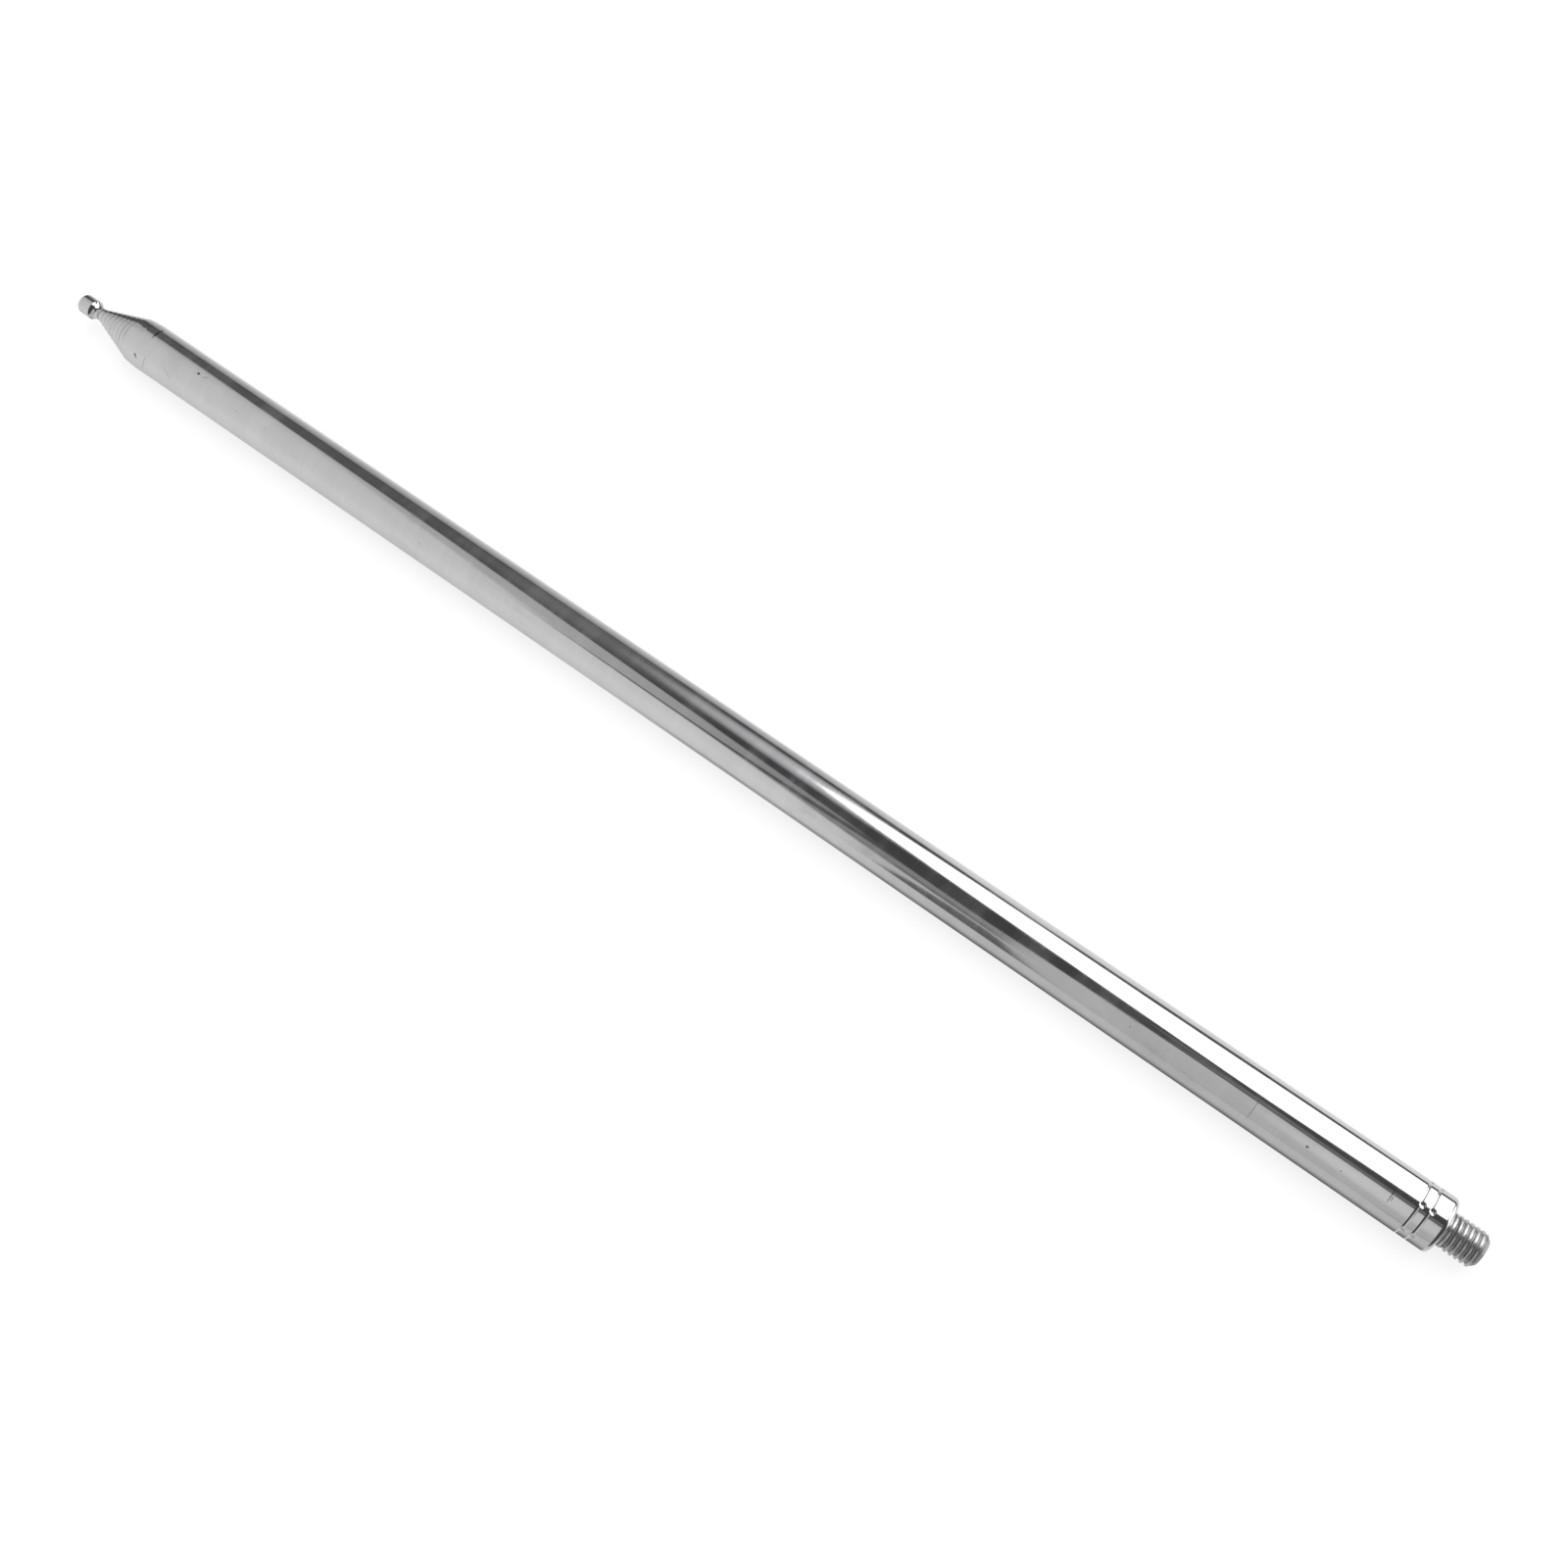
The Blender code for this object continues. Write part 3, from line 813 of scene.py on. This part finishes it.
class ANTENNA_OT_stud(Operator):
    """Turns the plug and its collars, and cuts the thread"""

    bl_idname = "antenna.stud"
    bl_label = "Plug and stud"

    FACETS = 128
    PLUG_CHAMFER = 0.5 * MM
    RELIEF_EXTRA = 0.05 * MM  # how much deeper than the thread the relief grooves are
    FLANK_ANGLE = math.radians(30)
    OVERSHOOT = 0.3 * MM  # how far the cutter stands out of the thread
    ROOT_EDGE = 0.04 * MM
    ROOT_RISE, ROOT_FLAT = 0.35, 0.6  # shape of the slightly rounded root
    HELIX_STEPS = 96
    MERGE_DISTANCE = 0.000002

    def execute(self, context):
        blank = self.turn_blank()
        cutter = self.wind_cutter()
        pick(blank)
        cut = blank.modifiers.new("thread", "BOOLEAN")
        cut.operation = "DIFFERENCE"
        cut.solver = "EXACT"
        cut.object = cutter
        bpy.ops.object.modifier_apply(modifier=cut.name)
        bpy.data.objects.remove(cutter)
        mode("EDIT")
        bpy.ops.mesh.select_all(action="SELECT")
        bpy.ops.mesh.remove_doubles(threshold=self.MERGE_DISTANCE)
        finish_piece(blank, "plug_and_stud", "base", "base_plug", "turned stud steel", 30)
        return {"FINISHED"}

    def turn_blank(self):
        """The plug, the collars and the plain chamfered rod that the thread is cut in."""
        b, s, t = base(), stud(), tubes()
        e = s.break_edge
        side = bore(1) - b.seat_gap
        face = outer(1) - b.round - b.lip - b.seat_gap
        root = s.radius - s.depth - self.RELIEF_EXTRA
        collar = s.radius - s.collar_undercut
        outline = [(b.plug_depth, side - self.PLUG_CHAMFER), (b.plug_depth - self.PLUG_CHAMFER, side)]
        for station in reversed(grooves()):
            groove = ring_groove(station, side, b.groove_depth, b.groove_width + 2 * b.seat_gap)
            outline += reversed([(where, radius - b.seat_gap) for where, radius in groove])
        outline.append((b.round, side))
        corner = (b.round, outer(1) - b.round)
        outline += arc(corner, b.round - t.wall - b.seat_gap, 90, 180, 4)
        outline += [(t.wall + b.seat_gap, face), (e, face), (0.0, face - e)]
        for index in range(s.collars):
            start = -index * collar_step()
            end = start - s.collar_width
            if index:
                outline.append((start, collar - e))
            outline += [(start - (e if index else 0.0), collar), (end + e, collar), (end, collar - e)]
            outline += [(end, root + e), (end - e, root), (end - s.relief + (0.0 if index else e), root)]
            if index == 0:
                outline.append((end - s.relief, root + e))
        thread = -s.collars * collar_step()
        outline += [(thread, s.radius - 2 * e), (thread - 2 * e, s.radius)]
        outline += [(-s.reach + s.chamfer, s.radius), (-s.reach, s.radius - s.chamfer)]
        blank = drawn(outline, self.FACETS)
        close_ends(False)
        return blank

    def wind_cutter(self):
        """A right-handed helix with the thread groove's section, cut off inside the last relief groove."""
        s = stud()
        mode("OBJECT")
        first = s.collars * collar_step() - s.pitch
        floor, top = s.radius - s.depth, s.radius + self.OVERSHOOT
        slope = math.tan(self.FLANK_ANGLE)
        wide = s.groove / 2
        flank = wide - s.depth * slope
        edge = floor + self.ROOT_EDGE / slope * self.ROOT_RISE
        outline = [
            (first - wide - self.OVERSHOOT * slope, top),
            (first - flank - self.ROOT_EDGE, edge),
            (first - flank * self.ROOT_FLAT, floor),
            (first + flank * self.ROOT_FLAT, floor),
            (first + flank + self.ROOT_EDGE, edge),
            (first + wide + self.OVERSHOOT * slope, top),
        ]
        cutter = begin(bpy.ops.mesh.primitive_circle_add, vertices=len(outline), radius=s.depth)
        mesh = bmesh.from_edit_mesh(cutter.data)
        mesh.verts.ensure_lookup_table()
        for vert, (along, radius) in zip(mesh.verts, outline):
            vert.co = (along, 0, radius)
        bmesh.update_edit_mesh(cutter.data)
        mode("OBJECT")
        wind = cutter.modifiers.new("helix", "SCREW")
        wind.axis = "X"
        wind.angle = math.tau
        wind.screw_offset = s.pitch
        wind.iterations = math.ceil((s.reach - first) / s.pitch) + 1
        wind.steps = wind.render_steps = self.HELIX_STEPS
        bpy.ops.object.modifier_apply(modifier=wind.name)
        mode("EDIT")
        close_ends(False)
        start = s.collars * collar_step() - s.relief / 2
        bpy.ops.mesh.bisect(plane_co=(start, 0, 0), plane_no=(1, 0, 0), use_fill=True, clear_inner=True)
        face_outwards()
        return cutter


# What the steel mirrors, by direction. A direction is given by its share along the antenna, which is its X,
# and by its roll about the antenna, in degrees from straight up, positive towards +Y. A tone is drawn
# through points of (where, tone), and an edge through points of (share along, roll).

SHARE_LOW, SHARE_HIGH = -0.86, 0.60
WHITE = (1.0, 1.0, 1.0)

SWEEP_TONES = (
    (-180, 0.78), (-157, 0.82), (-140, 0.92), (-96, 1.0), (-70, 0.94), (-46, 0.90), (-23, 0.87), (0, 0.83),
    (24, 0.72), (60, 0.30), (80, 0.42), (90, 0.52), (97, 0.59), (104, 0.67), (112, 0.76), (126, 0.88),
    (145, 1.0), (180, 0.86),
)
SWEEP_TONES_NEAR_STUD = (
    (-180, 0.08), (-172, 0.12), (-164, 0.36), (-156, 0.54), (-148, 0.62), (-135, 0.68), (-126, 0.72),
    (-109, 0.73), (-100, 0.70), (-95, 0.62), (-90, 0.645), (-60, 0.65), (-20, 0.67), (60, 0.66), (90, 0.80),
    (97, 0.92), (104, 1.0), (120, 1.0), (145, 0.97), (180, 0.5),
)
BOTTOM = ((-0.86, -180), (0.60, -180))
UNDERSIDE_HIGH = ((-0.86, -146), (0.60, -146))
CORNER_HIGH = ((-0.86, -180), (0.17, -178), (0.19, -160), (0.21, -140), (0.60, -126))

GREY_CARD_TONES = (
    (-0.86, 0.56), (-0.458, 0.55), (-0.358, 0.50), (-0.316, 0.45), (-0.261, 0.36), (-0.205, 0.33),
    (-0.177, 0.33), (-0.149, 0.30), (-0.12, 0.30), (-0.093, 0.40),
)
GREY_CARD_LOW = (
    (-0.86, 34), (-0.579, 34), (-0.561, 28.4), (-0.531, 13.9), (-0.503, -0.2), (-0.456, -16.3),
    (-0.416, -33.9), (-0.385, -39.9), (-0.354, -43.3), (-0.316, -46), (-0.289, -48.5), (-0.261, -51.5),
    (-0.233, -56), (-0.205, -60.5), (-0.177, -62.5), (-0.149, -62.5), (-0.121, -62), (-0.098, -61),
    (-0.09, -36), (0.34, -16),
)
LOWER_STRIP_LOW = (
    (-0.86, -38), (-0.44, -38), (-0.416, -39.4), (-0.385, -41.5), (-0.354, -43.2), (-0.3, -44.5),
    (-0.261, -45.5), (-0.233, -44), (-0.205, -38.5), (-0.177, -35), (-0.149, -37), (0.34, -37),
)
LOWER_STRIP_HIGH = (
    (-0.86, -42), (-0.44, -39), (-0.416, -37.9), (-0.354, -38), (-0.3, -37), (-0.261, -34), (-0.233, -29),
    (-0.205, -24), (-0.177, -22), (-0.121, -24), (-0.09, -42), (0.34, -42),
)
THIN_STRIP_LOW = (
    (-0.86, -40), (-0.253, -46), (-0.222, -51.5), (-0.177, -57.5), (-0.149, -60), (-0.121, -63),
    (-0.105, -63), (-0.093, -58), (0.34, -58),
)
THIN_STRIP_HIGH = (
    (-0.86, -58), (-0.253, -50), (-0.222, -49.5), (-0.177, -52.5), (-0.149, -52.5), (-0.121, -50),
    (-0.105, -54), (-0.098, -62), (0.34, -62),
)
SMALL_CARD_LOW = ((-0.86, -97), (0.34, -97))
SMALL_CARD_HIGH = (
    (-0.86, -102), (-0.19, -101), (-0.18, -90), (-0.170, -80), (-0.160, -74.5), (-0.149, -71),
    (-0.121, -65.5), (-0.107, -66.5), (-0.095, -76), (-0.086, -88), (-0.076, -95), (-0.066, -101),
    (0.34, -101),
)

DARK_CARD_TONES = (
    (-58, 0.075), (2, 0.072), (22, 0.10), (42, 0.125), (62, 0.125), (78, 0.09), (122, 0.10),
)
DARK_CARD_LOW = (
    (-0.86, 66), (-0.767, 54), (-0.687, 44), (-0.629, 38.2), (-0.602, 35), (-0.561, 29), (-0.517, 24.5),
    (-0.471, 17.5), (-0.421, 9), (-0.37, 1.5), (-0.316, -5.5), (-0.289, -9.5), (-0.261, -13.5),
    (-0.233, -18), (-0.205, -23.5), (-0.177, -33), (-0.149, -37.5), (-0.121, -38), (-0.093, -35),
    (-0.065, -32), (-0.037, -30), (-0.01, -28), (0.017, -26), (0.069, -24.5), (0.185, -25.5),
    (0.205, -78), (0.23, -108), (0.30, -126), (0.60, -126),
)
DARK_CARD_HIGH = (
    (-0.86, 112), (-0.767, 104), (-0.687, 88), (-0.629, 80), (-0.602, 80), (-0.561, 77), (-0.471, 79),
    (-0.37, 82.5), (-0.316, 86), (-0.261, 86.5), (-0.205, 87), (-0.149, 88.5), (-0.108, 87), (-0.093, 84),
    (-0.08, 87), (-0.065, 90), (-0.037, 93), (0.017, 96.5), (0.069, 100), (0.144, 101), (0.60, 101),
)
DIM_STRIP_LOW = ((-0.86, -18), (-0.02, -22), (0.069, -21), (0.34, -25))
DIM_STRIP_HIGH = (
    (-0.86, -30), (-0.019, -28), (0.017, -17), (0.069, -9.5), (0.12, -14), (0.168, -14), (0.229, -26),
)
SOFTBOX_LOW = (
    (-0.86, 62), (-0.252, 51), (-0.238, 41.3), (-0.229, 32), (-0.212, 28.5), (-0.205, 25), (-0.177, 20.5),
    (-0.149, 16), (-0.121, 13.5), (-0.093, 11.5), (-0.037, 8), (0.017, 5), (0.06, 3), (0.085, 3.8),
    (0.105, 5), (0.124, 6.5), (0.185, 8), (0.21, 18), (0.30, 22), (0.36, 14), (0.60, 9),
)
SOFTBOX_HIGH = (
    (-0.86, 30), (-0.252, 37), (-0.238, 43), (-0.223, 52), (-0.205, 61), (-0.177, 67), (-0.149, 71.5),
    (-0.093, 77), (-0.037, 77.5), (0.017, 79.5), (0.069, 83.5), (0.12, 86.5), (0.185, 89), (0.205, 55),
    (0.25, 46), (0.32, 46), (0.37, 88), (0.60, 92),
)


def tone_line(value, low, high, points):
    """A tone that changes with a value, through points of (value, tone)."""
    curve = add(tree_of(value), "FloatCurve")
    line = curve.mapping.curves[0]
    while len(line.points) < len(points):
        line.points.new(0.5, 0.5)
    for point, (where, tone) in zip(line.points, points):
        point.location = ((where - low) / (high - low), tone)
        point.handle_type = "AUTO_CLAMPED"
    curve.mapping.update()
    feed(curve.inputs["Value"], remap(value, low, high))
    return curve.outputs["Value"]


def edge_line(along, points):
    """A roll in degrees that changes along the antenna, through points of (share along, roll)."""
    tones = [(where, (roll + 180) / 360) for where, roll in points]
    return maths("MULTIPLY_ADD", tone_line(along, SHARE_LOW, SHARE_HIGH, tones), 360.0, -180.0)


def between(view, low, high, soft_low, soft_high):
    """1 between two edges and 0 outside them. Each edge is soft for so many degrees to both sides."""
    along, roll = view
    over = minus(roll, edge_line(along, low))
    under = minus(edge_line(along, high), roll)
    return times(eased(over, -soft_low, soft_low), eased(under, -soft_high, soft_high))


def oval(view, centre, half, softness=1.0):
    """1 inside an oval and 0 outside it."""
    along, roll = view
    beside = squared(minus(along, centre[0]), half[0])
    round_it = squared(minus(roll, centre[1]), half[1])
    return eased(plus(beside, round_it), 1.0 - softness, 1.0 + softness, 1.0, 0.0)


def shaded(seen, mask, strength, grey):
    """Lays a grey over what is seen, where the mask is."""
    return blended(times(mask, strength), seen, (grey, grey, grey))


def mirrored_sweep(view):
    """The pale sweep under the antenna, darker at its lower edge, with a light patch and a bright corner."""
    along, roll = view
    s = studio()
    far = scaled_colour(s.sweep, tone_line(roll, -180, 180, SWEEP_TONES))
    near = scaled_colour(s.sweep_near_stud, tone_line(roll, -180, 180, SWEEP_TONES_NEAR_STUD))
    seen = blended(eased(along, -0.27, -0.12), far, near)
    underside = between(view, BOTTOM, UNDERSIDE_HIGH, 0.01, 9.0)
    seen = shaded(seen, underside, eased(along, -0.38, -0.29, 0.0, 0.42), 0.12)
    seen = shaded(seen, oval(view, (0.150, -47), (0.07, 22)), 0.55, 0.98)
    corner = between(view, BOTTOM, CORNER_HIGH, 0.01, 6.0)
    return shaded(seen, corner, eased(along, 0.165, 0.19, 0.0, 0.7), 1.0)


def mirrored_grey_card(view, seen):
    """A grey card behind the sweep, with two dark strips and a small dark card before it."""
    card = between(view, GREY_CARD_LOW, DARK_CARD_LOW, 4.0, 2.0)
    tone = tone_line(view[0], SHARE_LOW, SHARE_HIGH, GREY_CARD_TONES)
    seen = blended(card, seen, scaled_colour(WHITE, tone))
    seen = shaded(seen, between(view, LOWER_STRIP_LOW, LOWER_STRIP_HIGH, 2.0, 3.0), 0.95, 0.10)
    seen = shaded(seen, between(view, THIN_STRIP_LOW, THIN_STRIP_HIGH, 2.0, 2.5), 0.7, 0.14)
    return shaded(seen, between(view, SMALL_CARD_LOW, SMALL_CARD_HIGH, 1.5, 2.5), 0.96, 0.12)


def mirrored_dark_card(view, seen):
    """A dark card above the grey one, with a dim strip, a faint spot, some haze and a soft glow on it."""
    dark = scaled_colour((1.0, 1.0, 1.02), tone_line(view[1], -60, 120, DARK_CARD_TONES))
    dark = shaded(dark, between(view, DIM_STRIP_LOW, DIM_STRIP_HIGH, 2.0, 3.0), 0.52, 0.34)
    dark = shaded(dark, oval(view, (0.017, -7), (0.026, 5), 0.8), 0.4, 0.34)
    dark = shaded(dark, oval(view, (-0.37, 46), (0.08, 34)), 0.45, 0.26)
    glow = times(oval(view, (-0.212, 43), (0.12, 25)), 0.95)
    dark = blended(glow, dark, (0.68, 0.68, 0.69))
    return blended(between(view, DARK_CARD_LOW, DARK_CARD_HIGH, 1.8, 4.0), seen, dark)


def hung(name, data, place):
    """A light or a camera, put in the scene at its place."""
    holder = bpy.data.objects.new(name, data)
    bpy.context.scene.collection.objects.link(holder)
    holder.location = place
    return holder


class ANTENNA_OT_studio(Operator):
    """Sets the pale floor, the soft light, the mirrored surroundings and the camera"""

    bl_idname = "antenna.studio"
    bl_label = "Studio"

    FLOOR_GLOW = 0.8  # share of the plain backdrop's colour that the camera sees on the floor
    MIDDLE = Vector((-0.23, 0, 0))  # where the lights are turned to
    SENSOR_WIDTH = 36.0
    SOFTBOX_GAIN = 1.1

    def execute(self, context):
        self.lay_floor()
        self.paint_surroundings()
        self.hang_lights()
        self.place_camera()
        context.scene.view_settings.view_transform = "Standard"
        return {"FINISHED"}

    def lay_floor(self):
        s = studio()
        bpy.ops.object.select_all(action="DESELECT")
        middle = (-tubes().first_rim / 2, 0, -s.floor_drop)
        bpy.ops.mesh.primitive_plane_add(size=s.floor_size, location=middle)
        floor = bpy.context.object
        floor.name = "floor"
        floor.visible_glossy = False
        made, shader = new_material("pale floor", 0.9)
        tree = made.node_tree
        shader.inputs["Base Color"].default_value = (*s.floor_colour, 1.0)
        glow = add(tree, "Emission", Color=(*s.backdrop, 1.0))
        camera_ray = add(tree, "LightPath").outputs["Is Camera Ray"]
        share = times(camera_ray, self.FLOOR_GLOW)
        mix = mixed_shaders(share, shader.outputs["BSDF"], glow.outputs["Emission"])
        feed(tree.nodes["Material Output"].inputs["Surface"], mix)
        floor.data.materials.append(made)

    def hang_lights(self):
        for name, place, size, power in (
            ("overhead softbox", (-0.25, 0.3, 1.6), 1.6, 17.0),
            ("front softbox", (-0.6, -1.4, 1.2), 1.2, 6.0),
        ):
            light = bpy.data.lights.new(name, "AREA")
            light.shape = "DISK"
            light.size = size
            light.energy = power
            lamp = hung(name, light, place)
            lamp.rotation_euler = (self.MIDDLE - Vector(place)).to_track_quat("-Z", "Y").to_euler()
            lamp.visible_glossy = False
            lamp.visible_camera = False

    def place_camera(self):
        s = studio()
        level = math.cos(s.elevation)
        back = Vector((math.sin(s.azimuth) * level, -math.cos(s.azimuth) * level, math.sin(s.elevation)))
        data = bpy.data.cameras.new("camera")
        data.lens = s.lens
        data.sensor_width = self.SENSOR_WIDTH
        data.clip_start = 0.01
        data.clip_end = 60.0
        camera = hung("camera", data, Vector((-s.target, -s.target_side, 0)) + back * s.distance)
        camera.rotation_euler = Euler((math.pi / 2 - s.elevation, 0, s.azimuth))
        bpy.context.scene.camera = camera

    def paint_surroundings(self):
        """Glossy rays meet the sweep, the cards and the softbox, and all others the plain backdrop."""
        world = bpy.data.worlds.new("studio surroundings")
        bpy.context.scene.world = world
        world.use_nodes = True
        tree = world.node_tree
        tree.nodes.clear()
        axes = axes_of(tree, "Generated")
        view = (axes["X"], maths("DEGREES", maths("ARCTAN2", axes["Y"], axes["Z"])))
        seen = mirrored_dark_card(view, mirrored_grey_card(view, mirrored_sweep(view)))
        softbox = between(view, SOFTBOX_LOW, SOFTBOX_HIGH, 2.0, 3.0)
        seen = blended(softbox, seen, WHITE)
        lift = plus(1.0, times(softbox, self.SOFTBOX_GAIN))
        mirrored = add(tree, "Background", Color=seen, Strength=lift).outputs["Background"]
        plain = add(tree, "Background", Color=(*studio().backdrop, 1.0)).outputs["Background"]
        glossy_ray = add(tree, "LightPath").outputs["Is Glossy Ray"]
        add(tree, "OutputWorld", Surface=mixed_shaders(glossy_ray, plain, mirrored))


class ANTENNA_PT_panel(Panel):
    bl_label = "Antenna"
    bl_idname = "ANTENNA_PT_panel"
    bl_space_type = "VIEW_3D"
    bl_region_type = "UI"
    bl_category = "Antenna"

    def draw(self, context):
        layout = self.layout
        for operator in STEPS:
            layout.operator(operator.bl_idname)
        for label, settings in SETTINGS.items():
            box = layout.box()
            box.label(text=label.replace("antenna_", "").title())
            group = getattr(context.scene, label)
            for name in settings.__annotations__:
                box.prop(group, name)


SETTINGS = {
    "antenna_tubes": TubeSizes,
    "antenna_base": EndSizes,
    "antenna_stud": StudSizes,
    "antenna_tip": TipSizes,
    "antenna_colours": FinishColours,
    "antenna_studio": StudioSettings,
}
STEPS = (
    ANTENNA_OT_finishes,
    ANTENNA_OT_body_tube,
    ANTENNA_OT_section_tubes,
    ANTENNA_OT_tip,
    ANTENNA_OT_stud,
    ANTENNA_OT_studio,
)


def register():
    for name, settings in SETTINGS.items():
        bpy.utils.register_class(settings)
        setattr(Scene, name, bpy.props.PointerProperty(type=settings))
    for step in STEPS:
        bpy.utils.register_class(step)
    bpy.utils.register_class(ANTENNA_PT_panel)


def unregister():
    bpy.utils.unregister_class(ANTENNA_PT_panel)
    for step in reversed(STEPS):
        bpy.utils.unregister_class(step)
    for name, settings in reversed(SETTINGS.items()):
        delattr(Scene, name)
        bpy.utils.unregister_class(settings)


def main():
    register()
    bpy.ops.antenna.finishes()
    bpy.ops.antenna.body_tube()
    bpy.ops.antenna.section_tubes()
    bpy.ops.antenna.tip()
    bpy.ops.antenna.stud()
    bpy.ops.antenna.studio()


if __name__ == "__main__":
    main()
